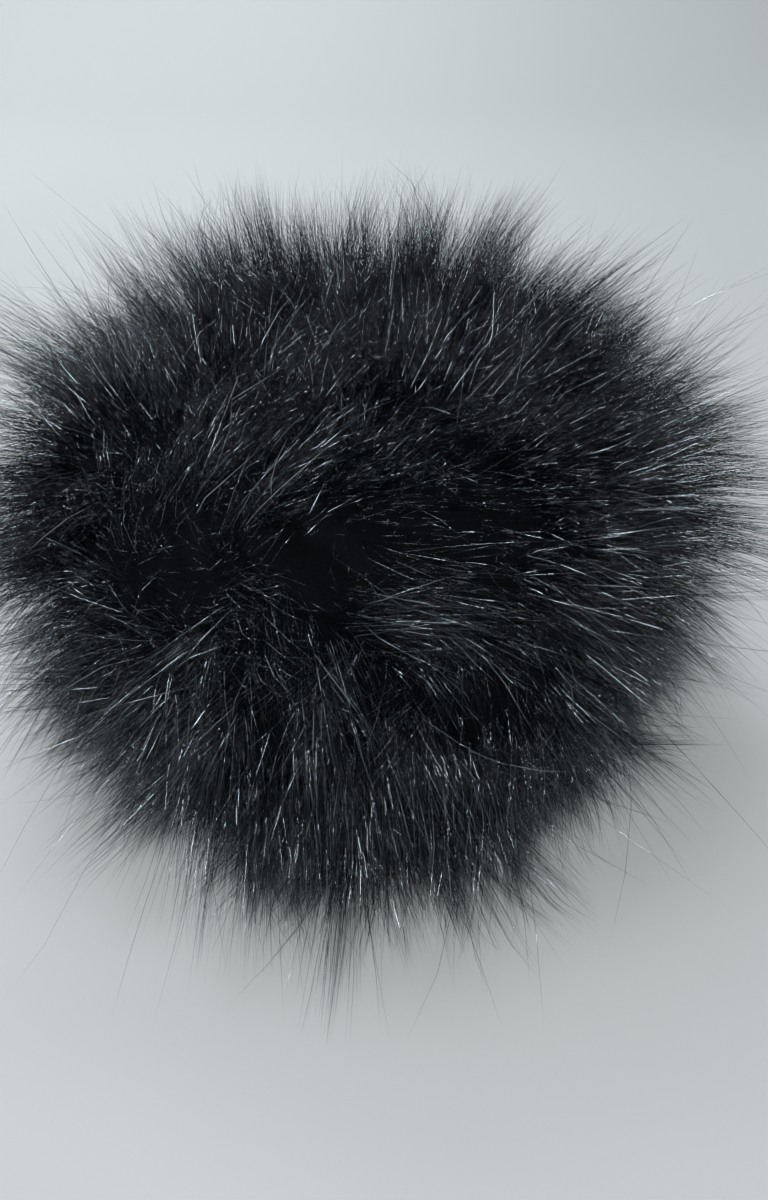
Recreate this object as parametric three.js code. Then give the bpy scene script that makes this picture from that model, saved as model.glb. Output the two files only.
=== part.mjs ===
// A round winter hat of long black fur, resting on its rim.
// A cloth side band goes round the head, and a domed cloth crown panel is sewn to its top edge.
// Each of the two carries its own deep pile, whose outer form is a field of pointed locks on one backing.
// Millimetres, +Z up, the wearer's face towards -Y, and the origin on the floor under the middle of the hat.
import * as THREE from "three";

// Head opening, inside the cloth: a circumference of about 58 cm.
const headWidth = 166;
const headLength = 202;

// Cloth wall.
const clothThickness = 2.2;
const bandHeight = 100;
const bandFlare = 10;
const crownRise = 30;

// Clearances: between the band and the crown at their seam, and between a pile and the cloth that carries it.
const seamGap = 0.4;
const pileSeat = 0.3;

// Pile: hair length, how far up the hair the locks part, and the gap where the two piles meet.
const hairLength = 56;
const lockRootShare = 0.42;
const partingGap = 0.8;

// How many facets, rows and locks the shapes are made of.
// The crown's locks crowd a little towards its steep edge.
const wallSides = 60;
const bandLocksRound = 30;
const bandLockRows = 12;
const crownLocksAcross = 16;
const crownEdgeCrowding = 1.35;
const lockWaist = { share: 0.5, width: 0.52 };

// Sections of the side band, from the rim to the seam, as shares of its height and of its flare.
const bandSections = [
  { height: 0, flare: 0 },
  { height: 0.35, flare: 0.5 },
  { height: 0.7, flare: 0.88 },
  { height: 1, flare: 1 },
];

// Sections of the crown panel, from the seam to its middle: angles along a rounded shoulder, in degrees.
const crownSections = [0, 18, 36, 54, 72];
const shoulderPower = 4;

// How the hair stands, level by level: 0 is the rim, 1 the seam and 2 the middle of the crown.
// out and up are shares of the hair's length, along the wall's level normal and straight up.
const hairLean = [
  { level: 0, out: 0.64, up: 0.03 },
  { level: 0.2, out: 0.77, up: -0.18 },
  { level: 0.45, out: 0.89, up: -0.26 },
  { level: 0.7, out: 0.95, up: -0.1 },
  { level: 0.9, out: 0.94, up: 0.16 },
  { level: 1, out: 0.9, up: 0.32 },
  { level: 1.12, out: 0.82, up: 0.49 },
  { level: 1.28, out: 0.62, up: 0.64 },
  { level: 1.5, out: 0.36, up: 0.72 },
  { level: 1.75, out: 0.14, up: 0.74 },
  { level: 2, out: 0, up: 0.74 },
];

// Places where the fur bulges or dips: the bearing in degrees from +X, the level, how far the place
// spreads in degrees and in levels, and what it adds to the hair's length as a share.
const swells = [
  { bearing: 182, level: 0.72, spread: 24, span: 0.3, gain: 0.12 },
  { bearing: 150, level: 1.0, spread: 14, span: 0.3, gain: -0.12 },
  { bearing: 108, level: 1.15, spread: 13, span: 0.3, gain: 0.18 },
  { bearing: 88, level: 1.15, spread: 8, span: 0.3, gain: -0.14 },
  { bearing: 66, level: 1.15, spread: 12, span: 0.3, gain: 0.16 },
  { bearing: 30, level: 0.95, spread: 12, span: 0.3, gain: -0.16 },
  { bearing: 6, level: 0.95, spread: 8, span: 0.2, gain: 0.16 },
  { bearing: -30, level: 0.6, spread: 14, span: 0.3, gain: -0.1 },
  { bearing: -75, level: 1.25, spread: 26, span: 0.25, gain: -0.12 },
  { bearing: -130, level: 0.5, spread: 16, span: 0.3, gain: 0.06 },
  { bearing: 230, level: 1.1, spread: 16, span: 0.25, gain: -0.1 },
  { bearing: 90, level: 1.35, spread: 55, span: 0.4, gain: 0.15 },
  { bearing: 44, level: 1.15, spread: 24, span: 0.3, gain: 0.1 },
  { bearing: 236, level: 0.25, spread: 24, span: 0.35, gain: -0.28 },
  { bearing: 304, level: 0.25, spread: 20, span: 0.35, gain: -0.16 },
];

// How uneven the locks are: the shortest one's share of the full length, the sideways stray of a tip as
// a share of that length, and the stray of the valleys between locks as a share of a lock's width.
const shortestLock = 0.76;
const tipStray = 0.1;
const valleyStray = 0.24;

const fullTurn = 2 * Math.PI;
const radians = THREE.MathUtils.degToRad;

// A repeatable number from 0 to 1 for each lock.
function scatter(row, column, use) {
  const wave = Math.sin(row * 127.1 + column * 311.7 + use * 74.7) * 43758.5453;
  return wave - Math.floor(wave);
}

// A repeatable stray to either side of a valley point.
function stray(row, column, use) {
  return (scatter(row, column, use) - 0.5) * valleyStray;
}

// Reads a value between the rows of a table that is sorted by one column.
function readTable(rows, key, value, at) {
  const next = rows.findIndex((row) => row[key] >= at);
  if (next === 0) return rows[0][value];
  if (next < 0) return rows[rows.length - 1][value];
  const below = rows[next - 1];
  const above = rows[next];
  const share = (at - below[key]) / (above[key] - below[key]);
  return THREE.MathUtils.lerp(below[value], above[value], share);
}

// A closed body that is built up from points, loops and strips of triangles.
class Skin {
  positions = [];
  triangles = [];

  point(at) {
    this.positions.push(at.x, at.y, at.z);
    return this.positions.length / 3 - 1;
  }

  loop(points) {
    return points.map((at) => this.point(at));
  }

  // Joins two closed loops that both run anticlockwise, seen from above, and start at the same bearing.
  // Going up a wall from the first loop to the second, the strip faces outwards.
  strip(first, second) {
    let i = 0;
    let j = 0;
    while (i < first.length || j < second.length) {
      const a = first[i % first.length];
      const b = second[j % second.length];
      if (j === second.length || (i < first.length && (i + 1) / first.length <= (j + 1) / second.length)) {
        i += 1;
        this.triangles.push(a, first[i % first.length], b);
      } else {
        j += 1;
        this.triangles.push(a, second[j % second.length], b);
      }
    }
  }

  // Closes a loop with a fan to one point, facing up, or down where the loop is turned round.
  fan(loop, at, facingDown = false) {
    const middle = this.point(at);
    loop.forEach((a, i) => {
      const b = loop[(i + 1) % loop.length];
      this.triangles.push(...(facingDown ? [b, a, middle] : [a, b, middle]));
    });
  }

  geometry() {
    const geometry = new THREE.BufferGeometry();
    geometry.setAttribute("position", new THREE.Float32BufferAttribute(this.positions, 3));
    geometry.setIndex(this.triangles);
    geometry.computeVertexNormals();
    return geometry;
  }
}

// Half the width and half the length of the head opening's oval, let out by some distance on every side.
function oval(letOut) {
  return { x: headWidth / 2 + letOut, y: headLength / 2 + letOut };
}

// Unit vector that points level and straight out of an oval at a bearing.
function levelNormal(bearing) {
  const half = oval(bandFlare);
  return new THREE.Vector3(Math.cos(bearing) / half.x, Math.sin(bearing) / half.y, 0).normalize();
}

// A point of the side band, with proud measured outwards from the cloth's inner face.
function bandPoint(bearing, height, proud) {
  const flare = bandFlare * readTable(bandSections, "height", "flare", height);
  const half = oval(flare + proud);
  return new THREE.Vector3(half.x * Math.cos(bearing), half.y * Math.sin(bearing), bandHeight * height);
}

// A point of the crown panel, with reach 1 at the seam and 0 in the middle, and proud as above.
function crownPoint(bearing, reach, proud) {
  const half = oval(bandFlare + proud);
  const rise = (crownRise - clothThickness + proud) * Math.sqrt(Math.max(0, 1 - reach ** shoulderPower));
  return new THREE.Vector3(
    half.x * reach * Math.cos(bearing),
    half.y * reach * Math.sin(bearing),
    bandHeight + seamGap + rise,
  );
}

// A section's share of the way out from the crown's middle.
function sectionReach(degrees) {
  return Math.cos(radians(degrees)) ** (2 / shoulderPower);
}

// Points of one section all the way round.
function roundAt(pointAt, sides) {
  return Array.from({ length: sides }, (_, i) => pointAt((fullTurn * i) / sides));
}

// Root of a hair on the cloth's outer face, at a bearing and a level from 0 at the rim to 2 in the middle.
function rootPoint(bearing, level) {
  const proud = clothThickness + pileSeat;
  return level <= 1 ? bandPoint(bearing, level, proud) : crownPoint(bearing, 2 - level, proud);
}

// What the swells add to the hair's length there, as a share.
function swellAt(bearing, level) {
  return swells.reduce((sum, swell) => {
    const apart = THREE.MathUtils.radToDeg(bearing) - swell.bearing;
    const turn = THREE.MathUtils.euclideanModulo(apart + 180, 360) - 180;
    const across = turn / swell.spread;
    const along = (level - swell.level) / swell.span;
    return sum + swell.gain * Math.exp(-across * across - along * along);
  }, 1);
}

// The way from a hair's root to its tip.
function hairWay(bearing, level) {
  const length = hairLength * swellAt(bearing, level);
  const way = levelNormal(bearing).multiplyScalar(length * readTable(hairLean, "level", "out", level));
  way.z = length * readTable(hairLean, "level", "up", level);
  return way;
}

// A point on the way from a hair's root to its tip, never under the floor.
function pilePoint(bearing, level, share) {
  const at = rootPoint(bearing, level).addScaledVector(hairWay(bearing, level), share);
  at.z = Math.max(at.z, 0);
  return at;
}

// Grows one lock from four corners that run anticlockwise seen from outside: a waist, then the tip.
function growLock(skin, corners, bearing, level, row, column) {
  const size = shortestLock + (1 - shortestLock) * scatter(row, column, 1);
  const side = (scatter(row, column, 2) - 0.5) * 2 * tipStray * hairLength;
  const lift = (scatter(row, column, 3) - 0.5) * 2 * tipStray * hairLength;
  const along = new THREE.Vector3(-Math.sin(bearing), Math.cos(bearing), 0);
  const tip = pilePoint(bearing, level, size);
  tip.addScaledVector(along, side);
  tip.z = Math.max(tip.z + lift * Math.min(1, level * 2), clothThickness / 2);
  const waistShare = lockRootShare + (size - lockRootShare) * lockWaist.share;
  const middle = pilePoint(bearing, level, waistShare);
  middle.addScaledVector(along, side * lockWaist.share ** 2);
  const centre = new THREE.Vector3();
  const at = corners.map((corner) => new THREE.Vector3().fromArray(skin.positions, 3 * corner));
  at.forEach((corner) => centre.addScaledVector(corner, 1 / at.length));
  const waist = at.map((corner) => {
    const ring = middle.clone().addScaledVector(corner.clone().sub(centre), lockWaist.width);
    ring.z = Math.max(ring.z, 0);
    return skin.point(ring);
  });
  corners.forEach((a, i) => {
    const next = (i + 1) % corners.length;
    skin.triangles.push(a, corners[next], waist[next], a, waist[next], waist[i]);
  });
  const point = skin.point(tip);
  waist.forEach((a, i) => skin.triangles.push(a, waist[(i + 1) % waist.length], point));
}

// Loops of the side band's sections at one distance out, from the rim up.
function bandLoops(skin, proud) {
  return bandSections.map(({ height }) =>
    skin.loop(roundAt((bearing) => bandPoint(bearing, height, proud), wallSides)),
  );
}

// Loops of the crown panel's sections at one distance out, from the seam to the middle.
function crownLoops(skin, proud) {
  return crownSections.map((degrees) =>
    skin.loop(roundAt((bearing) => crownPoint(bearing, sectionReach(degrees), proud), wallSides)),
  );
}

// Joins each loop of a list to the next one.
function joinLoops(skin, loops) {
  loops.slice(1).forEach((loop, i) => skin.strip(loops[i], loop));
}

// Side band: an open ring of cloth that flares a little towards the crown.
function sideBand() {
  const skin = new Skin();
  const outer = bandLoops(skin, clothThickness);
  const inner = bandLoops(skin, 0).reverse();
  joinLoops(skin, [...outer, ...inner, outer[0]]);
  return skin.geometry();
}

// Crown panel: a shallow dome of cloth with a round shoulder, open underneath.
function crownPanel() {
  const skin = new Skin();
  const outer = crownLoops(skin, clothThickness);
  const inner = crownLoops(skin, 0);
  joinLoops(skin, [...inner.slice().reverse(), ...outer]);
  skin.fan(outer[outer.length - 1], crownPoint(0, 0, clothThickness));
  skin.fan(inner[inner.length - 1], crownPoint(0, 0, 0), true);
  return skin.geometry();
}

// Level of a row of the band's locks: the rows spread from the rim to just under the parting.
function bandRowLevel(row) {
  return row / bandLockRows;
}

// Valley points between the band's locks. Each row is turned by half a lock against the one below.
function bandValley(row) {
  const inside = row > 0 && row < bandLockRows;
  return Array.from({ length: bandLocksRound }, (_, i) => {
    const bearing = (fullTurn * (i + (row % 2) / 2 + stray(row, i, 4))) / bandLocksRound;
    const level = bandRowLevel(inside ? row + stray(row, i, 5) : row);
    const at = pilePoint(bearing, level, lockRootShare);
    if (row === 0) at.z = 0;
    if (row === bandLockRows) at.z -= partingGap;
    return at;
  });
}

// Band pile: a thick ring of fur round the side band, closed flat on the floor, with locks in staggered rows.
function bandFur() {
  const skin = new Skin();
  const rows = Array.from({ length: bandLockRows + 1 }, (_, row) => skin.loop(bandValley(row)));
  const around = (loop, i) => loop[THREE.MathUtils.euclideanModulo(i, loop.length)];
  rows.forEach((loop, row) => {
    const turned = row % 2;
    loop.forEach((left, i) => {
      const right = around(loop, i + 1);
      const under = row > 0 ? around(rows[row - 1], i + turned) : null;
      const over = row < bandLockRows ? around(rows[row + 1], i + turned) : null;
      if (under === null) skin.triangles.push(left, right, over);
      else if (over === null) skin.triangles.push(left, under, right);
      else {
        const bearing = (fullTurn * (i + turned / 2 + 0.5)) / bandLocksRound;
        growLock(skin, [left, under, right, over], bearing, bandRowLevel(row), row, i);
      }
    });
  });
  const inner = bandLoops(skin, clothThickness + pileSeat).reverse();
  joinLoops(skin, [rows[bandLockRows], ...inner, rows[0]]);
  return skin.geometry();
}

// Bearing and level of a corner in the crown's square grid of locks, laid onto the oval without a pole.
function crownGridPlace(column, row) {
  const half = crownLocksAcross / 2;
  const x = (column - half) / half;
  const y = (row - half) / half;
  if (x === 0 && y === 0) return { bearing: 0, level: 2 };
  const wide = Math.abs(x) > Math.abs(y);
  const reach = Math.max(Math.abs(x), Math.abs(y));
  const turn = wide ? (y / x) * (Math.PI / 4) : Math.PI / 2 - (x / y) * (Math.PI / 4);
  const flip = (wide ? x : y) < 0 ? Math.PI : 0;
  return { bearing: turn + flip, level: 1 + (1 - reach) ** crownEdgeCrowding };
}

// The edge of the crown's grid, anticlockwise from +X.
function crownEdge(grid) {
  const last = crownLocksAcross;
  const half = last / 2;
  const run = (count, place) => Array.from({ length: count }, (_, i) => place(i));
  return [
    ...run(half, (i) => grid[last][half + i]),
    ...run(last, (i) => grid[last - i][last]),
    ...run(last, (i) => grid[0][last - i]),
    ...run(last, (i) => grid[i][0]),
    ...run(half, (i) => grid[last][i]),
  ];
}

// Crown pile: a thick cap of fur over the crown panel, with one lock in each cell of the grid.
function crownFur() {
  const skin = new Skin();
  const steps = Array.from({ length: crownLocksAcross + 1 }, (_, i) => i);
  const grid = steps.map((column) =>
    steps.map((row) => {
      const inside = Math.min(column, row) > 0 && Math.max(column, row) < crownLocksAcross;
      const { bearing, level } = inside
        ? crownGridPlace(column + stray(row, column, 6), row + stray(row, column, 7))
        : crownGridPlace(column, row);
      return skin.point(pilePoint(bearing, level, lockRootShare));
    }),
  );
  steps.slice(1).forEach((column) =>
    steps.slice(1).forEach((row) => {
      const corners = [
        grid[column - 1][row - 1],
        grid[column][row - 1],
        grid[column][row],
        grid[column - 1][row],
      ];
      const { bearing, level } = crownGridPlace(column - 0.5, row - 0.5);
      growLock(skin, corners, bearing, level, row + bandLockRows, column);
    }),
  );
  const inner = crownLoops(skin, clothThickness + pileSeat);
  joinLoops(skin, [...inner.slice().reverse(), crownEdge(grid)]);
  skin.fan(inner[inner.length - 1], crownPoint(0, 0, clothThickness + pileSeat), true);
  return skin.geometry();
}

const cloth = new THREE.MeshStandardMaterial({ color: 0x17171a, roughness: 0.95, metalness: 0 });
const fur = new THREE.MeshStandardMaterial({ color: 0x0b0c10, roughness: 0.6, metalness: 0 });

const hat = new THREE.Group();
[
  { name: "side_band", geometry: sideBand(), material: cloth },
  { name: "crown_panel", geometry: crownPanel(), material: cloth },
  { name: "band_fur", geometry: bandFur(), material: fur },
  { name: "crown_fur", geometry: crownFur(), material: fur },
].forEach(({ name, geometry, material }) => {
  const mesh = new THREE.Mesh(geometry, material);
  mesh.name = name;
  hat.add(mesh);
});

export default hat;
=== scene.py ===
# %% [markdown]
# # A round hat of long black fur
#
# A fur hat has only two cloth pieces, a band round the head and a domed panel over it, and all that
# anybody sees is hair. This lesson builds the two cloth walls, a dark undercoat on each, and then some
# eighty thousand separate hairs that lean, gather into wisps and get combed flat in places.
#
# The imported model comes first, because it fixes every size. Its own solids are selected after loading,
# so everything is deselected before a new piece is made.

# %% Load the frame
import bpy
import math
import numpy as np
from mathutils.kdtree import KDTree
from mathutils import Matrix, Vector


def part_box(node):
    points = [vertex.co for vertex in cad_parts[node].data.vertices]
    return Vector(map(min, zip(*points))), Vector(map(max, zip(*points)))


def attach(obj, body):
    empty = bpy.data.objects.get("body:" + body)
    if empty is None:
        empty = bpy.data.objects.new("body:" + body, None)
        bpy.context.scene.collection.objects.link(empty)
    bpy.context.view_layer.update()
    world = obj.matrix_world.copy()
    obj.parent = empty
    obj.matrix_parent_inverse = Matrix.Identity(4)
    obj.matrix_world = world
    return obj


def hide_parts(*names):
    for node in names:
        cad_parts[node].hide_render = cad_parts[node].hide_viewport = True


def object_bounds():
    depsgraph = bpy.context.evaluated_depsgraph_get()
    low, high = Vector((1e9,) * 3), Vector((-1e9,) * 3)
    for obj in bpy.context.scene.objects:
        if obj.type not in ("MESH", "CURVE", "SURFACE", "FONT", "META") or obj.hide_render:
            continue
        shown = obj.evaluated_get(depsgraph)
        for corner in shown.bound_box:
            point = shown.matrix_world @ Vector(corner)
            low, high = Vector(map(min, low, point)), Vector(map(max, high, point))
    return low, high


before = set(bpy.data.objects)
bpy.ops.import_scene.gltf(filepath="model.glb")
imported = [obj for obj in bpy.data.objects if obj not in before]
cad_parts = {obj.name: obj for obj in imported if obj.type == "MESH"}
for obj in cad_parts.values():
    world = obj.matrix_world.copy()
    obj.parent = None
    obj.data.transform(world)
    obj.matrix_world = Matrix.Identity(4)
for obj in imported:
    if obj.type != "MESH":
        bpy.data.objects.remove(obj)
cad_box = [list(corner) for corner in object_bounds()]
bpy.ops.object.select_all(action="DESELECT")
print("CAD box in metres:", cad_box)

# %% [markdown]
# ## The shape that the hair grows on
#
# The band is an oval tube that flares a little towards the top, and the crown is a shallow dome with a
# round shoulder. A place on either is given by two numbers: a bearing round the head, and a level that
# is 0 at the rim, 1 at the seam and 2 in the middle of the crown. All later pieces use these two, so
# hair, undercoat and cloth always meet.

# %% Sizes of the two cloth walls
CLOTH = 0.0022
FLARE = 0.010
PILE_SEAT = 0.0003
SHOULDER = 4

band_top = np.array(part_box("side_band")[1])
crown_low, crown_high = (np.array(corner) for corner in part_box("crown_panel"))
head = band_top[:2] - FLARE - CLOTH
band_height = band_top[2]
crown_foot = crown_low[2]
crown_rise = crown_high[2] - crown_low[2]

BAND_HEIGHTS = [0, 0.35, 0.7, 1]
BAND_FLARES = [0, 0.5, 0.88, 1]
print("head opening", (head * 2000).round(1), "mm, band", round(band_height * 1000, 1), "mm high")

# %% Places on the cloth


def band_place(bearing, level, proud):
    """Points of the band, with proud measured outwards from the cloth's inner face."""
    let_out = FLARE * np.interp(level, BAND_HEIGHTS, BAND_FLARES) + proud
    x = (head[0] + let_out) * np.cos(bearing)
    y = (head[1] + let_out) * np.sin(bearing)
    return np.stack([x, y, band_height * level + 0 * bearing], axis=-1)


def crown_place(bearing, reach, proud):
    """Points of the crown, with reach 1 at the seam and 0 in the middle."""
    rise = (crown_rise - CLOTH + proud) * np.sqrt(np.clip(1 - reach**SHOULDER, 0, 1))
    x = (head[0] + FLARE + proud) * reach * np.cos(bearing)
    y = (head[1] + FLARE + proud) * reach * np.sin(bearing)
    return np.stack([x, y, crown_foot + rise], axis=-1)


def cloth_place(bearing, level, proud):
    """Points of either wall, at a level from 0 to 2."""
    on_band = band_place(bearing, np.clip(level, 0, 1), proud)
    on_crown = crown_place(bearing, 2 - np.clip(level, 1, 2), proud)
    return np.where((level <= 1)[..., None], on_band, on_crown)


# %% [markdown]
# ## How the hair stands
#
# Real pile fur leans: down a little at the rim, straight out half way up, and more and more upright
# over the shoulder of the crown. One table holds that lean, and a second one holds the places where
# the fur bulges or dips. Both are the same tables that shaped the solid model, so the fine hair keeps
# its outline. Between the rows the values are read off in a straight line.

# %% Lean and swells
HAIR = 0.056

#        level  out    up
LEAN = [(0.00, 0.64, 0.03),
        (0.20, 0.77, -0.18),
        (0.45, 0.89, -0.26),
        (0.70, 0.95, -0.10),
        (0.90, 0.94, 0.16),
        (1.00, 0.90, 0.32),
        (1.12, 0.82, 0.49),
        (1.28, 0.62, 0.64),
        (1.50, 0.36, 0.72),
        (1.75, 0.14, 0.74),
        (2.00, 0.00, 0.74)]

#          bearing level spread span  gain
SWELLS = [(182, 0.72, 24, 0.30, 0.12),
          (150, 1.00, 14, 0.30, -0.12),
          (108, 1.15, 13, 0.30, 0.18),
          (88, 1.15, 8, 0.30, -0.14),
          (66, 1.15, 12, 0.30, 0.16),
          (30, 0.95, 12, 0.30, -0.16),
          (6, 0.95, 8, 0.20, 0.16),
          (-30, 0.60, 14, 0.30, -0.10),
          (-75, 1.25, 26, 0.25, -0.12),
          (-130, 0.50, 16, 0.30, 0.06),
          (230, 1.10, 16, 0.25, -0.10),
          (90, 1.35, 55, 0.40, 0.15),
          (44, 1.15, 24, 0.30, 0.10),
          (236, 0.25, 24, 0.35, -0.28),
          (304, 0.25, 20, 0.35, -0.16)]

lean_level, lean_out, lean_up = np.array(LEAN).T


def swell(bearing, level):
    """What the bulges and dips make of a hair's length there."""
    total = np.ones_like(bearing)
    for place, height, spread, span, gain in SWELLS:
        apart = (np.degrees(bearing) - place + 180) % 360 - 180
        total += gain * np.exp(-((apart / spread) ** 2) - ((level - height) / span) ** 2)
    return total


def lean(bearing, level):
    """The way from root to tip, for a hair of length one."""
    across, along = head + FLARE
    sideways = np.stack([np.cos(bearing) / across, np.sin(bearing) / along], axis=-1)
    sideways /= np.linalg.norm(sideways, axis=-1, keepdims=True)
    out = np.interp(level, lean_level, lean_out)[..., None]
    up = np.interp(level, lean_level, lean_up)[..., None]
    return np.concatenate([sideways * out, up], axis=-1)


def pile_place(bearing, level, share):
    """A point some share of the way up the hair."""
    length = (HAIR * swell(bearing, level) * share)[..., None]
    place = cloth_place(bearing, level, CLOTH + PILE_SEAT) + lean(bearing, level) * length
    place[..., 2] = np.maximum(place[..., 2], 0)
    return place


# %% [markdown]
# ## Helpers for materials
#
# Two finishes are used more than once: dyed hair, and the knitted backing that the hair is locked into.
# Each becomes a node group with named inputs and outputs, and each material places the group with its
# own values. These helpers keep the node building short.

# %% Groups, nodes and materials
COLOR, FLOAT = "NodeSocketColor", "NodeSocketFloat"


def new_group(name, inputs, outputs):
    """A shader group with named sockets. Each input comes with its type and its first value."""
    group = bpy.data.node_groups.new(name, "ShaderNodeTree")
    for title, kind, value in inputs:
        socket = group.interface.new_socket(title, in_out="INPUT", socket_type=kind)
        socket.default_value = value
    for title, kind in outputs:
        group.interface.new_socket(title, in_out="OUTPUT", socket_type=kind)
    return group, group.nodes.new("NodeGroupInput"), group.nodes.new("NodeGroupOutput")


def add_node(tree, kind, links=(), **values):
    """A node with its values set and its inputs filled. Links are (input, socket or value) pairs."""
    node = tree.nodes.new(kind)
    for title, value in values.items():
        setattr(node, title, value)
    for title, source in links:
        if hasattr(source, "is_output"):
            tree.links.new(source, node.inputs[title])
        else:
            node.inputs[title].default_value = source
    return node


def worked_out(tree, operation, *sources):
    """What a Math node works out."""
    return add_node(tree, "ShaderNodeMath", list(enumerate(sources)), operation=operation).outputs[0]


def spread(tree, number, low, high):
    """Stretches a number between 0 and 1 over the range from low to high."""
    links = [("Value", number), ("To Min", low), ("To Max", high)]
    return add_node(tree, "ShaderNodeMapRange", links).outputs[0]


def own_place(tree):
    """The piece's own coordinates."""
    return add_node(tree, "ShaderNodeTexCoord").outputs["Object"]


def blend_colours(tree, share, first, second, blend_type="MIX"):
    """What a Mix node makes of two colours."""
    links = [(0, share), (6, first), (7, second)]
    return add_node(tree, "ShaderNodeMix", links, data_type="RGBA", blend_type=blend_type).outputs[2]


def new_material(name):
    """An empty material, its tree and its Principled shader."""
    material = bpy.data.materials.new(name)
    material.use_nodes = True
    return material, material.node_tree, material.node_tree.nodes["Principled BSDF"]


def add_bump(tree, shader, height, distance, strength):
    """Turns a height into a bumpy normal."""
    links = [("Height", height), ("Distance", distance), ("Strength", strength)]
    bump = add_node(tree, "ShaderNodeBump", links)
    tree.links.new(bump.outputs["Normal"], shader.inputs["Normal"])


# %% [markdown]
# ## The knitted backing
#
# Fake fur is hair locked into a thin knit, and in an unlined hat that knit is what lies against the
# head. A knit is rows of small V shapes. In a group it takes few nodes: a triangle wave bends the rows
# into Vs, a sine along them makes the yarns round, and a second sine across parts the two legs.

# %% A node group for knit
knit, inside, outside = new_group(
    "knit",
    [("Across", FLOAT, 0.0), ("Along", FLOAT, 0.0), ("Yarn", COLOR, (0.03, 0.03, 0.033, 1)),
     ("Gap", COLOR, (0.006, 0.006, 0.007, 1))],
    [("Color", COLOR), ("Height", FLOAT)])
across, along = inside.outputs["Across"], inside.outputs["Along"]
bend = worked_out(knit, "PINGPONG", across, 0.5)
slanted = worked_out(knit, "MULTIPLY_ADD", bend, 1.3, along)
yarn_turn = worked_out(knit, "MULTIPLY", slanted, 2 * math.pi)
yarn_round = worked_out(knit, "MULTIPLY_ADD", worked_out(knit, "SINE", yarn_turn), 0.5, 0.5)
leg_turn = worked_out(knit, "MULTIPLY", across, 2 * math.pi)
leg_round = worked_out(knit, "ABSOLUTE", worked_out(knit, "SINE", leg_turn))
yarn_height = worked_out(knit, "MULTIPLY", yarn_round, worked_out(knit, "POWER", leg_round, 0.4))
# The colour follows the yarn's height. The low parts between and beside the yarns get the dark Gap
# colour, which is painted shade in the knit's hollows.
knit_colour_and_shade = blend_colours(knit, yarn_height, inside.outputs["Gap"], inside.outputs["Yarn"])
knit.links.new(knit_colour_and_shade, outside.inputs["Color"])
knit.links.new(yarn_height, outside.inputs["Height"])
print("node group", knit.name, "has", len(knit.nodes), "nodes")

# %% Backing materials for the band and the crown
BAND_STITCHES = 400
STITCH_HEIGHT = 0.0013
STITCH_WIDTH = 0.0016


def backing_material(name, round_the_band):
    """Knit that runs round the band, or lies flat over the crown."""
    material, tree, shader = new_material(name)
    place = own_place(tree)
    x, y, z = add_node(tree, "ShaderNodeSeparateXYZ", [(0, place)]).outputs
    if round_the_band:
        turn = worked_out(tree, "ARCTAN2", y, x)
        across = worked_out(tree, "MULTIPLY", turn, BAND_STITCHES / (2 * math.pi))
        along = worked_out(tree, "DIVIDE", z, STITCH_HEIGHT)
    else:
        across = worked_out(tree, "DIVIDE", x, STITCH_WIDTH)
        along = worked_out(tree, "DIVIDE", y, STITCH_HEIGHT)
    links = [("Across", across), ("Along", along)]
    group = add_node(tree, "ShaderNodeGroup", links, node_tree=knit)
    fuzz = add_node(tree, "ShaderNodeTexNoise", [
        ("Vector", place), ("Scale", 1300.0), ("Detail", 4.0)]).outputs["Fac"]
    # The knit's colour, with its painted shade in the hollows, is varied at random by a fine fuzz.
    worn_and_shaded = blend_colours(tree, 1.0, group.outputs["Color"], spread(tree, fuzz, 0.6, 1.4), "MULTIPLY")
    tree.links.new(worn_and_shaded, shader.inputs["Base Color"])
    tree.links.new(spread(tree, fuzz, 0.75, 0.95), shader.inputs["Roughness"])
    add_bump(tree, shader, group.outputs["Height"], 0.0005, 0.7)
    return material


band_backing = backing_material("band backing", True)
crown_backing = backing_material("crown backing", False)
thread, thread_tree, thread_shader = new_material("sewing thread")
twist_links = [("Vector", own_place(thread_tree)), ("Scale", 900.0), ("Distortion", 1.5)]
twist = add_node(thread_tree, "ShaderNodeTexWave", twist_links, bands_direction="DIAGONAL").outputs["Fac"]
# The thread's colour follows the same twist wave as its bump, so the grooves between the plies are
# painted darker. This is painted shade.
thread_colour_and_shade = blend_colours(thread_tree, twist, (0.006, 0.006, 0.007, 1), (0.028, 0.028, 0.032, 1))
thread_tree.links.new(thread_colour_and_shade, thread_shader.inputs["Base Color"])
thread_shader.inputs["Roughness"].default_value = 0.45
add_bump(thread_tree, thread_shader, twist, 0.0001, 0.6)
print("materials:", band_backing.name, "and", crown_backing.name, "and", thread.name)

# %% [markdown]
# ## The two cloth walls
#
# The band starts as a circle that is extruded upwards row by row, and the crown as the upper half of a
# sphere. Each vertex is then moved to the place that its bearing and its height stand for, and Solidify
# gives the cloth its real thickness, outwards, so that the inner face stays where the head touches it.

# %% Wrap, finish and name a piece


def wrap(piece, place):
    """Moves every vertex of a mesh to the place that a function gives for its old position."""
    old = np.empty(len(piece.data.vertices) * 3)
    piece.data.vertices.foreach_get("co", old)
    new = place(old.reshape(-1, 3))
    piece.data.vertices.foreach_set("co", new.ravel())
    piece.data.update()


def finish_piece(piece, name, material, slot, *nodes):
    """Names a piece, gives it its finish and ties it to the frame."""
    piece.name = name
    piece.data.name = name
    piece.data.materials.clear()
    piece.data.materials.append(material)
    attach(piece, "root")
    if nodes:
        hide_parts(*nodes)


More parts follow.
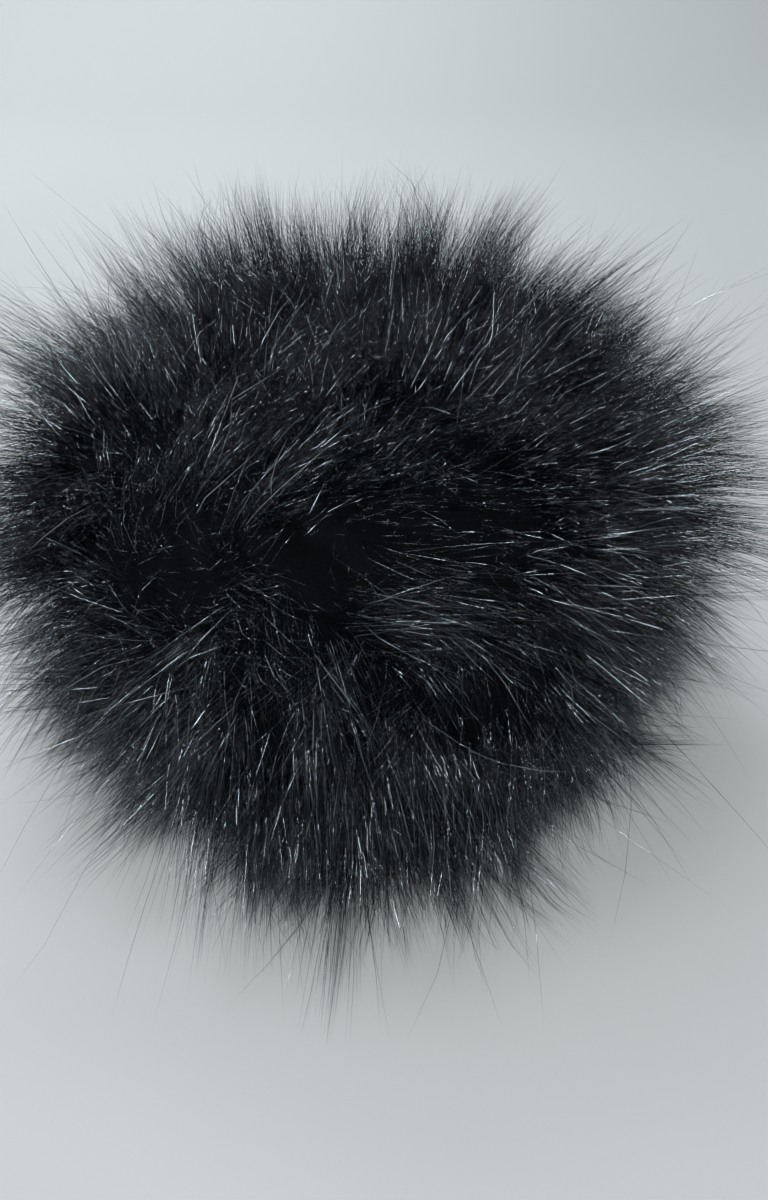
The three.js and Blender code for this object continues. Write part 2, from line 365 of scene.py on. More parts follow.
def thicken(piece):
    """Turns a single skin into cloth, outwards."""
    bpy.ops.object.mode_set(mode="EDIT")
    bpy.ops.mesh.select_all(action="SELECT")
    bpy.ops.mesh.normals_make_consistent(inside=False)
    bpy.ops.object.mode_set(mode="OBJECT")
    wall = piece.modifiers.new("wall", "SOLIDIFY")
    wall.thickness = CLOTH
    wall.offset = 1
    edge = piece.modifiers.new("soft edge", "BEVEL")
    edge.width = CLOTH * 0.3
    edge.segments = 2
    edge.limit_method = "ANGLE"
    edge.angle_limit = math.radians(60)
    for modifier in (wall, edge):
        bpy.ops.object.modifier_apply(modifier=modifier.name)
    bpy.ops.object.shade_smooth()


# %% Band and crown
BAND_ROWS = 14

bpy.ops.mesh.primitive_circle_add(vertices=144, radius=1)
band_cloth = bpy.context.object
bpy.ops.object.mode_set(mode="EDIT")
bpy.ops.mesh.select_all(action="SELECT")
for row in range(BAND_ROWS):
    bpy.ops.mesh.extrude_region_move(TRANSFORM_OT_translate={"value": (0, 0, 1 / BAND_ROWS)})
bpy.ops.object.mode_set(mode="OBJECT")
wrap(band_cloth, lambda old: band_place(np.arctan2(old[:, 1], old[:, 0]), old[:, 2], 0))
thicken(band_cloth)
wrap(band_cloth, lambda old: np.maximum(old, (-1, -1, 0)))
finish_piece(band_cloth, "band_cloth", band_backing, "backing_cloth", "side_band")

bpy.ops.object.select_all(action="DESELECT")
bpy.ops.mesh.primitive_uv_sphere_add(segments=144, ring_count=48, radius=1)
crown_cloth = bpy.context.object
bpy.ops.object.mode_set(mode="EDIT")
bpy.ops.mesh.select_all(action="SELECT")
bpy.ops.mesh.bisect(plane_co=(0, 0, 0), plane_no=(0, 0, 1), clear_inner=True)
bpy.ops.object.mode_set(mode="OBJECT")
wrap(crown_cloth, lambda old: crown_place(
    np.arctan2(old[:, 1], old[:, 0]), np.clip(np.hypot(old[:, 0], old[:, 1]), 0, 1), 0))
thicken(crown_cloth)
finish_piece(crown_cloth, "crown_cloth", crown_backing, "backing_cloth", "crown_panel")
print("cloth faces:", len(band_cloth.data.polygons), "and", len(crown_cloth.data.polygons))

# %% [markdown]
# ## The seam and its stitches
#
# Where the band meets the crown, the two edges are turned in and lie against the inside of the band as
# one soft ridge. A torus gives the ridge. An edging thread runs over it in a zigzag, and a second row
# of plain stitches holds the rim. Both are threads of real thickness, made from curves and rods.

# %% The ridge and the edging thread
SEAM_LEVEL, SEAM_HALF = 0.955, 0.035
SEAM_BULGE, SEAM_SEAT = 0.0009, 0.0008
EDGING_TURNS = 150
EDGING_PROUD = -0.0018
THREAD_RADIUS = 0.0003

bpy.ops.object.select_all(action="DESELECT")
bpy.ops.mesh.primitive_torus_add(major_radius=2, minor_radius=1, major_segments=144, minor_segments=12)
seam = bpy.context.object


def seam_place(old):
    """A torus of radius 2 with a tube of radius 1, as the ridge inside the band."""
    bearing = np.arctan2(old[:, 1], old[:, 0])
    outward = np.hypot(old[:, 0], old[:, 1]) - 2
    uneven = 1 + 0.12 * np.sin(31 * bearing) + 0.08 * np.sin(53 * bearing + 1)
    level = SEAM_LEVEL + SEAM_HALF * old[:, 2] * uneven
    return band_place(bearing, level, SEAM_BULGE * outward - SEAM_SEAT)


wrap(seam, seam_place)
bpy.ops.object.shade_smooth()
finish_piece(seam, "crown_seam", band_backing, "backing_cloth")

edging_turn = np.linspace(0, 2 * math.pi, 2 * EDGING_TURNS, endpoint=False)
edging_level = SEAM_LEVEL + SEAM_HALF * 0.9 * np.tile([-1.0, 1.0], EDGING_TURNS)
edging_path = band_place(edging_turn, edging_level, EDGING_PROUD)
edging_curve = bpy.data.curves.new("edging", "CURVE")
edging_curve.dimensions = "3D"
edging_curve.bevel_depth = THREAD_RADIUS
edging_curve.bevel_resolution = 1
spline = edging_curve.splines.new("POLY")
spline.points.add(len(edging_path) - 1)
spline.points.foreach_set("co", np.append(edging_path, np.ones((len(edging_path), 1)), axis=1).ravel())
spline.use_cyclic_u = True
edging = bpy.data.objects.new("edging", edging_curve)
bpy.context.collection.objects.link(edging)
bpy.ops.object.select_all(action="DESELECT")
edging.select_set(True)
bpy.context.view_layer.objects.active = edging
bpy.ops.object.convert(target="MESH")
bpy.ops.object.shade_smooth()
finish_piece(edging, "seam_edging", thread, "backing_cloth")
print("seam ridge and", EDGING_TURNS, "turns of thread over it")

# %% [markdown]
# ## Dyed hair
#
# Black fur is never flat black. Each hair is a glossy rod, dark at the root, a touch cooler and lighter
# towards the tip, and no two hairs are dyed quite alike. Every hair carries two numbers for this: how
# far along the hair a point lies, and a tone of its own. One node group turns them into a colour and
# a roughness, and the hair and the undercoat both use it with their own values.

# %% A node group for dyed hair
PALE_FROM = 0.99

dyed_hair, inside, outside = new_group(
    "dyed hair",
    [("Along", FLOAT, 0.5), ("Tone", FLOAT, 0.5), ("Root", COLOR, (0.001, 0.001, 0.002, 1)),
     ("Tip", COLOR, (0.003, 0.0035, 0.006, 1)), ("Pale", COLOR, (0.16, 0.17, 0.18, 1)),
     ("Smooth", FLOAT, 0.10), ("Rough", FLOAT, 0.30)],
    [("Color", COLOR), ("Roughness", FLOAT)])
towards_tip = worked_out(dyed_hair, "POWER", inside.outputs["Along"], 1.6)
ground = blend_colours(dyed_hair, towards_tip, inside.outputs["Root"], inside.outputs["Tip"])
brightness = spread(dyed_hair, inside.outputs["Tone"], 0.4, 1.7)
toned = blend_colours(dyed_hair, 1.0, ground, brightness, "MULTIPLY")
is_pale = worked_out(dyed_hair, "GREATER_THAN", inside.outputs["Tone"], PALE_FROM)
hair_colour = blend_colours(dyed_hair, is_pale, toned, inside.outputs["Pale"])
gloss = spread(dyed_hair, inside.outputs["Tone"], inside.outputs["Rough"], inside.outputs["Smooth"])
dyed_hair.links.new(hair_colour, outside.inputs["Color"])
dyed_hair.links.new(gloss, outside.inputs["Roughness"])
print("node group", dyed_hair.name, "has", len(dyed_hair.nodes), "nodes")

# %% Hair and undercoat materials


def hair_material(name, ior, values):
    """A material that reads a hair's two numbers through the group."""
    material, tree, shader = new_material(name)
    along_hair = add_node(tree, "ShaderNodeAttribute", attribute_name="along_hair").outputs["Fac"]
    hair_tone = add_node(tree, "ShaderNodeAttribute", attribute_name="hair_tone").outputs["Fac"]
    links = [("Along", along_hair), ("Tone", hair_tone)] + list(values.items())
    group = add_node(tree, "ShaderNodeGroup", links, node_tree=dyed_hair)
    tree.links.new(group.outputs["Color"], shader.inputs["Base Color"])
    tree.links.new(group.outputs["Roughness"], shader.inputs["Roughness"])
    shader.inputs["IOR"].default_value = ior
    # The bluish specular tint is painted light: it gives the hair's sheen the blue of a sky-lit window.
    shader.inputs["Specular Tint"].default_value = (0.78, 0.92, 1, 1)
    return material, tree, shader


long_hair = hair_material("long hair", 1.45, {"Smooth": 0.08, "Rough": 0.18})[0]
guard_hair, _, guard_shader = hair_material("guard hair", 3.0, {"Smooth": 0.04, "Rough": 0.10})
guard_shader.inputs["Specular IOR Level"].default_value = 0.62
# The undercoat is coloured darker than the long hair. Part of this is the wool's own black, and part is
# painted shade of the deep pile.
shaded_undercoat_finish, wool_tree, wool_shader = hair_material("undercoat", 1.45, {
    "Root": (0.0006, 0.0006, 0.001, 1), "Tip": (0.0012, 0.0012, 0.002, 1), "Smooth": 0.7, "Rough": 0.95})
wool_shader.inputs["Specular IOR Level"].default_value = 0.06
matted = add_node(wool_tree, "ShaderNodeTexNoise", [
    ("Vector", own_place(wool_tree)), ("Scale", 700.0), ("Detail", 5.0)])
add_bump(wool_tree, wool_shader, matted.outputs["Fac"], 0.002, 0.9)

# %% [markdown]
# ## The undercoat
#
# Under the long hair lies a short, dense, woolly layer that hides the cloth. It is too dense to build
# hair by hair, so each pile gets one lumpy closed body for it. A torus suits the band: its round way
# becomes the bearing, and its small circle becomes the outline of a slice, out along the wool and back
# along the cloth. A sphere suits the crown in the same manner, with its lower half laid on the cloth.

# %% Two bodies of wool
WOOL_SHARE, LUMP_SHARE = 0.3, 0.055
WOOL_ALONG = 0.8
GOLDEN_PART = 0.618034
#         round, start, upward
LUMPS = [(23, 0, 27),
         (31, 1.7, -39),
         (47, 0.6, 63),
         (61, 2.9, -87)]


def wool_share(bearing, level):
    """How far up the hair the wool reaches, from waves that do not repeat together."""
    waves = sum(np.sin(turns * bearing + start + climbs * level) for turns, start, climbs in LUMPS)
    return WOOL_SHARE * (1 + LUMP_SHARE * waves)


def band_wool_place(old):
    """A torus of radius 2 with a tube of radius 1, as the band's wool."""
    bearing = np.arctan2(old[:, 1], old[:, 0])
    outward = np.hypot(old[:, 0], old[:, 1]) - 2
    level = np.clip(0.5 + 0.75 * old[:, 2], 0, 1)
    return pile_place(bearing, level, wool_share(bearing, level) * np.clip(outward / 0.5, 0, 1) ** 0.5)


def crown_wool_place(old):
    """A ball of radius 1, as the crown's wool."""
    bearing = np.arctan2(old[:, 1], old[:, 0])
    level = 2 - np.clip(np.hypot(old[:, 0], old[:, 1]), 0, 1)
    return pile_place(bearing, level, np.where(old[:, 2] > 0, wool_share(bearing, level), 0.0))


def add_wool(name, place, node):
    """Shapes the primitive that was just added into wool."""
    wool = bpy.context.object
    wrap(wool, place)
    bpy.ops.object.shade_smooth()
    count = len(wool.data.vertices)
    tones = np.arange(count) * GOLDEN_PART % 0.5
    for title, values in (("along_hair", np.full(count, WOOL_ALONG)), ("hair_tone", tones)):
        wool.data.attributes.new(title, "FLOAT", "POINT").data.foreach_set("value", values)
    finish_piece(wool, name, shaded_undercoat_finish, "fur", node)
    print(name, "has", len(wool.data.polygons), "faces")


bpy.ops.object.select_all(action="DESELECT")
bpy.ops.mesh.primitive_torus_add(major_radius=2, minor_radius=1, major_segments=150, minor_segments=30)
add_wool("band_undercoat", band_wool_place, "band_fur")
bpy.ops.object.select_all(action="DESELECT")
bpy.ops.mesh.primitive_uv_sphere_add(segments=130, ring_count=44, radius=1)
add_wool("crown_undercoat", crown_wool_place, "crown_fur")

# %% [markdown]
# ## Where the hairs grow
#
# Hair has to be spread evenly over the cloth, not over the two numbers that name a place, or the steep
# shoulder would go bald. So the roots come from an even scatter over a square, and each side of it is
# stretched by the cloth's own running length or area before it is used.

# %% An even scatter of roots
rng = np.random.default_rng(7)
EVEN_STEP = np.array([0.7548776662466927, 0.5698402909980532])
JITTER = 0.004
BAND_PART = 0.54
CROWN_START = 991

turn = np.linspace(0, 2 * math.pi, 721)
turn_run = np.cumsum(np.hypot((head[0] + FLARE) * np.sin(turn), (head[1] + FLARE) * np.cos(turn)))
turn_share = (turn_run - turn_run[0]) / (turn_run[-1] - turn_run[0])
reach_steps = np.linspace(0, 1, 401)
dome = crown_place(0 * reach_steps, reach_steps, CLOTH)
dome_run = np.linalg.norm(np.diff(dome, axis=0), axis=1) * reach_steps[1:]
dome_share = np.concatenate([[0], np.cumsum(dome_run)]) / dome_run.sum()


def even_pairs(count, start):
    """Pairs of numbers from 0 to 1 that fill a square evenly."""
    return ((np.arange(count)[:, None] + start) * EVEN_STEP + rng.random((count, 2)) * JITTER) % 1


def roots(count, start):
    """Bearings and levels spread evenly over the whole hat, the band's first."""
    on_band = int(count * BAND_PART)
    low = even_pairs(on_band, start)
    high = even_pairs(count - on_band, start + CROWN_START)
    bearing = np.concatenate([np.interp(low[:, 0], turn_share, turn), high[:, 0] * 2 * math.pi])
    level = np.concatenate([low[:, 1], 2 - np.interp(high[:, 1], dome_share, reach_steps)])
    return bearing, level


# %% [markdown]
# ## How a hair runs
#
# Hairs do not stand alone. They cling into fine wisps, the wisps into locks and the locks into broad
# tufts, and a hand or a comb has laid some places over. Each tuft, lock and wisp has a small tilt of its
# own that all its hairs share, and each hair is then pulled towards the middle of its wisp, more and
# more towards the tip. The combed places come from a table: where they are, and which way the hair is
# laid. Inside one, the hairs lie side by side, so their own tilts are calmed there.

# %% Combed places
#         x      y      z     radius right  back   up
COMBS = [(-0.05, -0.75, 1.45, 0.062, 0.32, -0.02, -0.06),
         (-0.58, -0.80, 1.45, 0.036, 0.66, 0.66, -0.06),
         (0.15, -1.03, 1.36, 0.034, 0.56, 0.62, -0.54),
         (0.52, -0.98, 1.36, 0.030, 0.25, 0.48, -0.40),
         (-0.40, -1.11, 1.24, 0.030, 0.25, 0.09, 0.09),
         (-0.29, -0.08, 1.54, 0.018, 0.90, 0.30, -0.30),
         (0.03, -1.12, 1.30, 0.022, 0.00, -0.12, 0.06),
         (-0.41, -1.30, 1.04, 0.014, 0.80, 0.10, 0.15),
         (-0.80, -0.20, 1.45, 0.034, -0.10, 0.30, 0.00),
         (0.45, -0.10, 1.55, 0.040, 0.30, 0.25, 0.00),
         (1.05, -0.50, 1.25, 0.022, 0.50, 0.10, 0.05),
         (0.00, 0.70, 1.50, 0.075, 0.00, -0.38, 0.34),
         (0.72, 0.60, 1.45, 0.050, 0.10, -0.46, 0.36),
         (1.22, -0.50, 1.30, 0.030, 0.45, 0.02, 0.05),
         (1.20, 0.05, 1.05, 0.030, 0.35, 0.05, 0.05),
         (-1.10, 0.20, 1.30, 0.036, -0.25, 0.05, 0.05),
         (-1.15, -0.80, 0.60, 0.060, 0.00, 0.20, 0.22),
         (-0.55, -1.25, 0.45, 0.045, 0.00, 0.12, -0.25),
         (0.40, -1.30, 0.45, 0.045, 0.00, 0.12, -0.22)]
CALMED = 0.75


def combing(place):
    """How the comb has laid the tips, as shares of the hair's length, and how firmly."""
    laid = np.zeros_like(place)
    firm = np.zeros(len(place))
    outer = np.append(head + FLARE, band_height)
    for x, y, z, radius, right, back, up in COMBS:
        apart = np.linalg.norm(place - outer * (x, y, z), axis=-1) / radius
        hold = np.exp(-(apart**3))
        laid += hold[:, None] * (right, back, up)
        firm = np.maximum(firm, hold * min(1, math.hypot(right, back)))
    return laid, firm


# %% Tufts, locks and wisps


def nearest(places, centres):
    """For each place, the number of the nearest centre."""
    tree = KDTree(len(centres))
    for index, centre in enumerate(centres):
        tree.insert(centre, index)
    tree.balance()
    return np.array([tree.find(place)[1] for place in places])


def strays(count, size):
    """Small random tilts, one for each."""
    return rng.normal(0, size, (count, 3))


def bundles(count, start, tilt, bend, shortest, longest, larger=None):
    """Middles of bundles of hair. Each takes over the ways of the larger bundle that it lies in."""
    bearing, level = roots(count, start)
    made = {"bearing": bearing, "level": level, "place": cloth_place(bearing, level, CLOTH),
            "tilt": strays(count, tilt), "bend": strays(count, bend),
            "size": rng.uniform(shortest, longest, count)}
    if larger:
        made["within"] = nearest(made["place"], larger["place"])
        made["tilt"] += larger["tilt"][made["within"]]
        made["bend"] += larger["bend"][made["within"]]
        made["size"] *= larger["size"][made["within"]]
    return made


tufts = bundles(170, 17, 0.16, 0.10, 0.90, 1.10)
locks = bundles(1000, 59, 0.15, 0.22, 0.90, 1.08, tufts)
wisps = bundles(5200, 101, 0.10, 0.12, 0.92, 1.06, locks)
wisp_tone = rng.random(len(wisps["size"]))
print(len(wisps["size"]), "wisps in", len(locks["size"]), "locks and", len(tufts["size"]), "tufts")

# %% One hair's line
ROOT_AT = 0.15
COMB_TOUCHES_AT = 0.6
COMB_CURVE, DROOP_CURVE = 1.6, 2.2
SHORTEST_REACH, LONGEST_REACH = 0.75, 1.05
DROOP_LEVELS, DROOPS = [0, 0.8, 1, 1.3, 2], [0.22, 0.48, 0.24, 0.04, 0]


def run(bearing, level, size, tilt, bend, shares, laid=1):
    """Points along hairs, from near the root to the tip. The comb reaches each hair by its laid share."""
    root = cloth_place(bearing, level, CLOTH)
    stand = lean(bearing, level)
    comb, firm = combing(root + stand * HAIR * COMB_TOUCHES_AT)
    comb, calm = comb * laid, 1 - CALMED * firm[:, None] * laid
    tilt, bend = tilt * calm, bend * calm
    droop = np.interp(level, DROOP_LEVELS, DROOPS)[:, None] * (0, 0, -1)
    end = stand + tilt + comb + bend + droop
    keep = np.linalg.norm(stand, axis=1) / np.linalg.norm(end, axis=1)
    keep = np.clip(keep, SHORTEST_REACH, LONGEST_REACH)
    length = (HAIR * swell(bearing, level) * size * keep)[:, None]
    spine = [root + length * ((stand + tilt) * s + comb * s**COMB_CURVE + (bend + droop) * s**DROOP_CURVE)
             for s in shares]
    return np.stack(spine, axis=1)


def middle_lines(bundle, shares):
    """The line in the middle of each bundle."""
    return run(bundle["bearing"], bundle["level"], bundle["size"], bundle["tilt"], bundle["bend"], shares)


# %% Lines of many hairs
LOCK_PULL, LOCK_CURVE = 0.6, 1.7
WISP_PULL, WISP_CURVE = 0.9, 1.4
OWN_TILT = 0.05
LEFT_STANDING = 0.7
WISP_TONE = 0.45
LOWEST, LOWEST_SPREAD = 0.0008, 0.0016
STRAY, STRAY_SHARE = 0.009, 0.03

stray_room = STRAY + STRAY_SHARE * np.subtract(cad_box[1], cad_box[0])
room_low, room_high = cad_box[0] - stray_room, cad_box[1] + stray_room


def trim(spine):
    """Shortens the hairs that would reach past the room that stray hairs may take."""
    foot = spine[:, 0]
    out = spine[:, -1] - foot
    room = np.where(out > 0, room_high - foot, foot - room_low)
    share = np.clip(np.min(room / np.maximum(np.abs(out), 1e-6), axis=1), 0, 1)
    return foot[:, None] + (spine - foot[:, None]) * share[:, None, None]


def out_of_hollow(spine):
    """Pushes the points that would pierce the band's wall back out of the hollow for the head."""
    flare = FLARE * np.interp(spine[:, :, 2] / band_height, BAND_HEIGHTS, BAND_FLARES)
    wall = head + CLOTH + PILE_SEAT + flare[:, :, None]
    reach = np.linalg.norm(spine[:, :, :2] / wall, axis=2)
    push = np.where(spine[:, :, 2] < band_height, 1 / np.clip(reach, 0.1, 1), 1)
    return spine * np.stack([push, push, np.ones_like(push)], axis=2)


def grow(count, start, points, shortest, longest, loose, combed):
    """Lines, tones, bearings and levels of a number of hairs. Loose hairs tilt more on their own."""
    bearing, level = roots(count, start)
    wisp = nearest(cloth_place(bearing, level, CLOTH), wisps["place"])
    shares = np.linspace(ROOT_AT, 1, points)
    size = wisps["size"][wisp] * rng.uniform(shortest, longest, count)
    astray = (OWN_TILT + loose * rng.random(count) ** 3)[:, None]
    laid = combed * (1 - LEFT_STANDING * rng.random(count)[:, None] ** 4)
    own = run(bearing, level, size, wisps["tilt"][wisp] + strays(count, 1) * astray,
              wisps["bend"][wisp] + strays(count, 1) * astray, shares, laid)
    guide = middle_lines(wisps, shares)
    towards_lock = LOCK_PULL * shares[:, None] ** LOCK_CURVE
    guide += (middle_lines(locks, shares)[wisps["within"]] - guide) * towards_lock
    cling = WISP_PULL * rng.uniform(0.5, 1.0, (count, 1)) * (1 - astray / (OWN_TILT + loose)) * laid
    spine = out_of_hollow(trim(own + (guide[wisp] - own) * (cling * shares**WISP_CURVE)[:, :, None]))
    rest = LOWEST + LOWEST_SPREAD * rng.random(count)
    spine[:, :, 2] = np.maximum(spine[:, :, 2], rest[:, None])
    tone = 0.98 * (WISP_TONE * wisp_tone[wisp] + (1 - WISP_TONE) * rng.random(count))
    tone[rng.random(count) < PALE_SHARE] = 1
    return spine, tone, bearing, level


# %% [markdown]
# ## From a line to a hair
#
# Each hair is a closed, three-sided rod that tapers to a point. With smooth normals three sides are
# enough to look round, and eighty thousand hairs stay within reach. All corners are worked out at once
# as arrays and go into one mesh, which is far quicker than thousands of separate objects.

# %% Rods from lines
SIDES = 3
TAPER, TAPER_CURVE = 0.72, 1.5
THINNEST, THICKEST = 0.75, 1.2


def rods(spine, thick):
    """Vertices and triangles of tapering rods, and each vertex's share along its hair."""
    count, points, _ = spine.shape
    ahead = np.gradient(spine, axis=1)
    ahead /= np.linalg.norm(ahead, axis=2, keepdims=True)
    aside = np.cross(ahead, rng.normal(size=(count, 1, 3)))
    aside /= np.linalg.norm(aside, axis=2, keepdims=True)
    third = np.cross(ahead, aside)
    share = np.linspace(0, 1, points)
    radius = thick[:, None] * (1 - TAPER * share[None, :-1] ** TAPER_CURVE)
    corners = []
    for corner in range(SIDES):
        angle = 2 * math.pi * corner / SIDES
        way = math.cos(angle) * aside[:, :-1] + math.sin(angle) * third[:, :-1]
        corners.append(spine[:, :-1] + way * radius[:, :, None])
    rings = np.stack(corners, axis=2).reshape(count, -1, 3)
    vertices = np.concatenate([rings, spine[:, -1:]], axis=1)
    one = [(0, 2, 1)]
    for ring in range(points - 2):
        for corner in range(SIDES):
            a = ring * SIDES + corner
            b = ring * SIDES + (corner + 1) % SIDES
            one += [(a, b, b + SIDES), (a, b + SIDES, a + SIDES)]
    last = (points - 2) * SIDES
    one += [(last + corner, last + (corner + 1) % SIDES, last + SIDES) for corner in range(SIDES)]
    per_hair = vertices.shape[1]
    triangles = np.array(one)[None] + np.arange(count)[:, None, None] * per_hair
    along = np.append(np.repeat(share[:-1], SIDES), 1.0)
    return vertices.reshape(-1, 3), triangles.reshape(-1, 3), np.tile(along, count), per_hair


def rod_piece(name, batches):
    """One mesh from several batches of lines, tones and thicknesses."""
    vertices, triangles, along, tones = [], [], [], []
    offset = 0
    for spine, tone, thick in batches:
        corners, faces, shares, per_hair = rods(spine, thick)
        vertices.append(corners)
        triangles.append(faces + offset)
        along.append(shares)
        tones.append(np.repeat(tone, per_hair))
        offset += len(corners)
    vertices, triangles = np.concatenate(vertices), np.concatenate(triangles)
    mesh = bpy.data.meshes.new(name)
    mesh.vertices.add(len(vertices))
    mesh.vertices.foreach_set("co", vertices.ravel())
    mesh.loops.add(triangles.size)
    mesh.loops.foreach_set("vertex_index", triangles.ravel())
    mesh.polygons.add(len(triangles))
    mesh.polygons.foreach_set("loop_start", np.arange(0, triangles.size, 3))
    mesh.polygons.foreach_set("use_smooth", np.ones(len(triangles), dtype=bool))
    mesh.update(calc_edges=True)
    mesh.attributes.new("along_hair", "FLOAT", "POINT").data.foreach_set("value", np.concatenate(along))
    mesh.attributes.new("hair_tone", "FLOAT", "POINT").data.foreach_set("value", np.concatenate(tones))
    piece = bpy.data.objects.new(name, mesh)
    bpy.context.collection.objects.link(piece)
    print(name, "has", len(triangles), "triangles")
    return piece


# %% Rim stitches
RIM_STITCHES = 104
STITCH_LEVEL = 0.06
STITCH_PART = 0.66
STITCH_SINK, STITCH_RISE = 0.0004, 0.0008
STITCH_RADIUS = 0.0004
STITCH_SHARES = np.linspace(0, 1, 5)

first_turn = np.linspace(0, 2 * math.pi, RIM_STITCHES, endpoint=False)[:, None]
stitch_turn = first_turn + STITCH_SHARES * 2 * math.pi / RIM_STITCHES * STITCH_PART
stitch_proud = STITCH_SINK - STITCH_RISE * np.sin(math.pi * STITCH_SHARES) + 0 * stitch_turn
stitch_spine = band_place(stitch_turn, np.full_like(stitch_turn, STITCH_LEVEL), stitch_proud)
rim_stitches = rod_piece("rim_stitches", [
    (stitch_spine, np.full(RIM_STITCHES, 0.5), np.full(RIM_STITCHES, STITCH_RADIUS))])
finish_piece(rim_stitches, "rim_stitches", thread, "backing_cloth")

# %% [markdown]
# ## Grow the pile
#
# A real pile mixes several kinds of hair. Short fillers thicken it near the wool, fine hairs make most
# of what is seen, long hairs carry the wisps, and one hair in ten is a glossy guard hair that catches
# the light. A few flyaways reach out past all the others. The comb reaches the short fillers least, so
# they stay standing under the combed hair and no bare wool shows. The pile goes into nine pieces, so
# that none gets heavy.

# %% Kinds of hair
PALE_SHARE = 0.002
FIRST_START, NEXT_START, GUARD_START = 211, 5003, 40009

#        count points thick   shortest longest loose combed
KINDS = [(900, 6, 0.00010, 1.10, 1.40, 0.60, 1.0),
         (12000, 5, 0.00012, 0.90, 1.24, 0.25, 1.0),
         (37000, 3, 0.00012, 0.80, 1.15, 0.18, 0.9),
         (24000, 2, 0.00013, 0.45, 0.78, 0.12, 0.3)]
GUARDS = (8000, 5, 0.00012, 0.85, 1.20, 0.42, 1.0)


def grow_kinds(kinds, start):
    """Each kind's lines and thicknesses."""
    grown = []
    for count, points, thick, shortest, longest, loose, combed in kinds:
        start += NEXT_START
        grown.append((grow(count, start, points, shortest, longest, loose, combed), thick))
    return grown


def between(bearing, first, last):
    """Which bearings lie in a sector, in degrees, going anticlockwise."""
    return (np.degrees(bearing) - first) % 360 < (last - first)


def add_hair(name, grown, crown, first, last, finish):
    """One piece of hair: a sector of the crown or of the band."""
    batches = []
    for (spine, tone, bearing, level), thick in grown:
        mine = between(bearing, first, last) & ((level > 1) == crown)
        batches.append((spine[mine], tone[mine], thick * rng.uniform(THINNEST, THICKEST, mine.sum())))
    finish_piece(rod_piece(name, batches), name, finish, "fur", "crown_fur" if crown else "band_fur")


#            name              crown  sector
SECTORS = [("crown_hair_front", True, 210, 330),
           ("crown_hair_right", True, -30, 90),
           ("crown_hair_left", True, 90, 210),
           ("band_hair_front", False, 225, 315),
           ("band_hair_right", False, -45, 45),
           ("band_hair_back", False, 45, 135),
           ("band_hair_left", False, 135, 225)]

grown = grow_kinds(KINDS, FIRST_START)
for name, crown, first, last in SECTORS:
    add_hair(name, grown, crown, first, last, long_hair)

guards = grow_kinds([GUARDS], GUARD_START)
add_hair("crown_guard_hair", guards, True, 0, 360, guard_hair)
add_hair("band_guard_hair", guards, False, 0, 360, guard_hair)

# %% [markdown]
# ## Floor, light and camera
#
# The hat stands on a plain pale sheet that sweeps up behind it. Glossy hair shows what lights it, so
# the light matters as much as the material. One soft window in front, above the camera, draws the
# bright lines along the combed hair. A ceiling window, and two weak ones low at the sides behind the
# hat, give the upright hair its sheen. Four washes, turned away from the hat, light the sheet alone.
# The room itself stays dim, or its reflection would turn the black hair grey. The sheet is still seen
# against a pale sky in the other views, through a switch on the world.

# %% A pale sheet that sweeps up
SWEEP_FROM, SWEEP_RADIUS = 1.3, 1.2
SHEET_WIDE, SHEET_FRONT = 0.48, 0.53

bpy.ops.object.select_all(action="DESELECT")
bpy.ops.mesh.primitive_grid_add(x_subdivisions=2, y_subdivisions=80, size=9, location=(0, 0, 0))
sheet = bpy.context.object


def sweep(old):
    """Cuts a square sheet narrower, then bends its back up into a wall, round a quarter circle."""
    new = old * (SHEET_WIDE, 1, 1)
    along = np.maximum(old[:, 1] - SWEEP_FROM, 0)
    angle = np.minimum(along / SWEEP_RADIUS, math.pi / 2)
    past = np.maximum(along - SWEEP_RADIUS * math.pi / 2, 0)
    flat = np.where(old[:, 1] < 0, old[:, 1] * SHEET_FRONT, np.minimum(old[:, 1], SWEEP_FROM))
    new[:, 1] = flat + SWEEP_RADIUS * np.sin(angle)
    new[:, 2] = SWEEP_RADIUS * (1 - np.cos(angle)) + past
    return new


wrap(sheet, sweep)
bpy.ops.object.shade_smooth()
sheet.name = "backdrop"
paper, paper_tree, paper_shader = new_material("pale paper")
fibre = add_node(paper_tree, "ShaderNodeTexNoise", [
    ("Vector", own_place(paper_tree)), ("Scale", 900.0), ("Detail", 3.0)])
paper_tone = spread(paper_tree, fibre.outputs["Fac"], 0.96, 1.0)
paper_colour = blend_colours(paper_tree, 1.0, (0.34, 0.36, 0.368, 1), paper_tone, "MULTIPLY")
paper_tree.links.new(paper_colour, paper_shader.inputs["Base Color"])
paper_shader.inputs["Roughness"].default_value = 0.9
sheet.data.materials.append(paper)

# %% Light
ROOM_LIGHT, SKY_SEEN = 0.13, 0.60
ROOM_COLOUR = (0.84, 0.91, 1.0, 1)

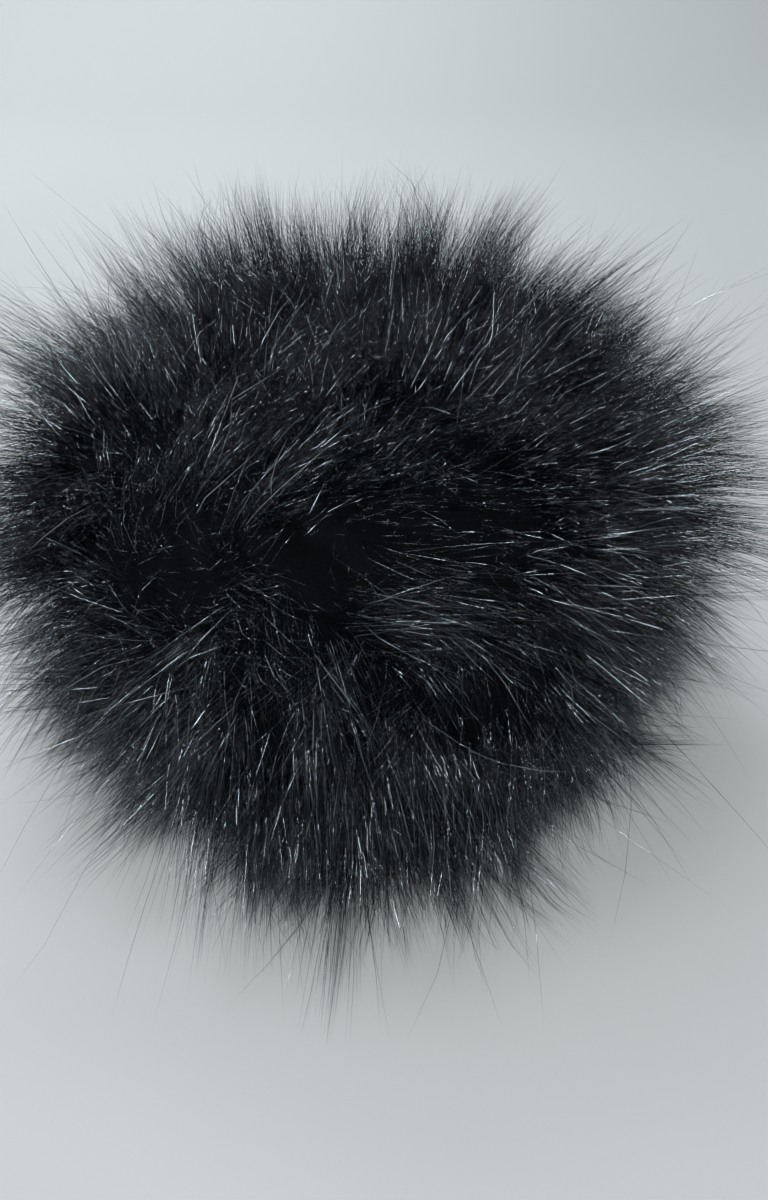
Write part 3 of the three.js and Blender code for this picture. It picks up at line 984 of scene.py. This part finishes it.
world = bpy.data.worlds.new("room")
bpy.context.scene.world = world
world.use_nodes = True
room_tree = world.node_tree
background = room_tree.nodes["Background"]
background.inputs["Color"].default_value = ROOM_COLOUR
seen = add_node(room_tree, "ShaderNodeLightPath").outputs["Is Camera Ray"]
room_strength = spread(room_tree, seen, ROOM_LIGHT, SKY_SEEN)
room_tree.links.new(room_strength, background.inputs["Strength"])


def window(name, place, turn_to, size, power, colour):
    """A soft square light that faces a point."""
    bpy.ops.object.light_add(type="AREA", location=place)
    light = bpy.context.object
    light.name = name
    light.data.size = size
    light.data.energy = power
    light.data.color = colour
    ahead = np.subtract(turn_to, place)
    light.rotation_euler = (math.atan2(math.hypot(ahead[0], ahead[1]), -ahead[2]), 0,
                            math.atan2(ahead[1], ahead[0]) - math.pi / 2)


window("front window", (-0.2, -1.25, 1.05), (0, 0.9, 0.4), 0.5, 38, (1.0, 0.99, 0.97))
window("ceiling window", (-0.3, 0.1, 1.6), (0, 0, 0.1), 0.7, 12, (0.98, 0.99, 1.0))
window("left window", (-1.35, 0.5, 0.5), (0, 0, 0.1), 0.7, 3.5, (0.85, 0.93, 1.0))
window("right window", (1.3, 0.75, 0.45), (0, 0, 0.1), 0.7, 2, (0.95, 0.98, 1.0))
window("backdrop wash", (-0.5, 1.1, 1.6), (-0.2, 2.2, 0.3), 1.2, 44, (0.97, 0.99, 1.0))
for side, x, y in [("left", -1, 0), ("right", 1, 0), ("front", 0, -1)]:
    window(side + " wash", (1.3 * x, 1.3 * y, 1.3), (2.8 * x, 2.8 * y, 0.2), 1.2, 30, (0.97, 0.99, 1.0))
bpy.context.scene.view_settings.view_transform = "Standard"

# %% Camera
TILT = 36
camera_data = bpy.data.cameras.new("camera")
camera = bpy.data.objects.new("camera", camera_data)
bpy.context.collection.objects.link(camera)
camera.location = (0.0116, -0.3471, 0.2878)
camera.rotation_euler = (math.radians(90 - TILT), 0, 0)
camera_data.sensor_width = 36
camera_data.lens = 30
bpy.context.scene.camera = camera
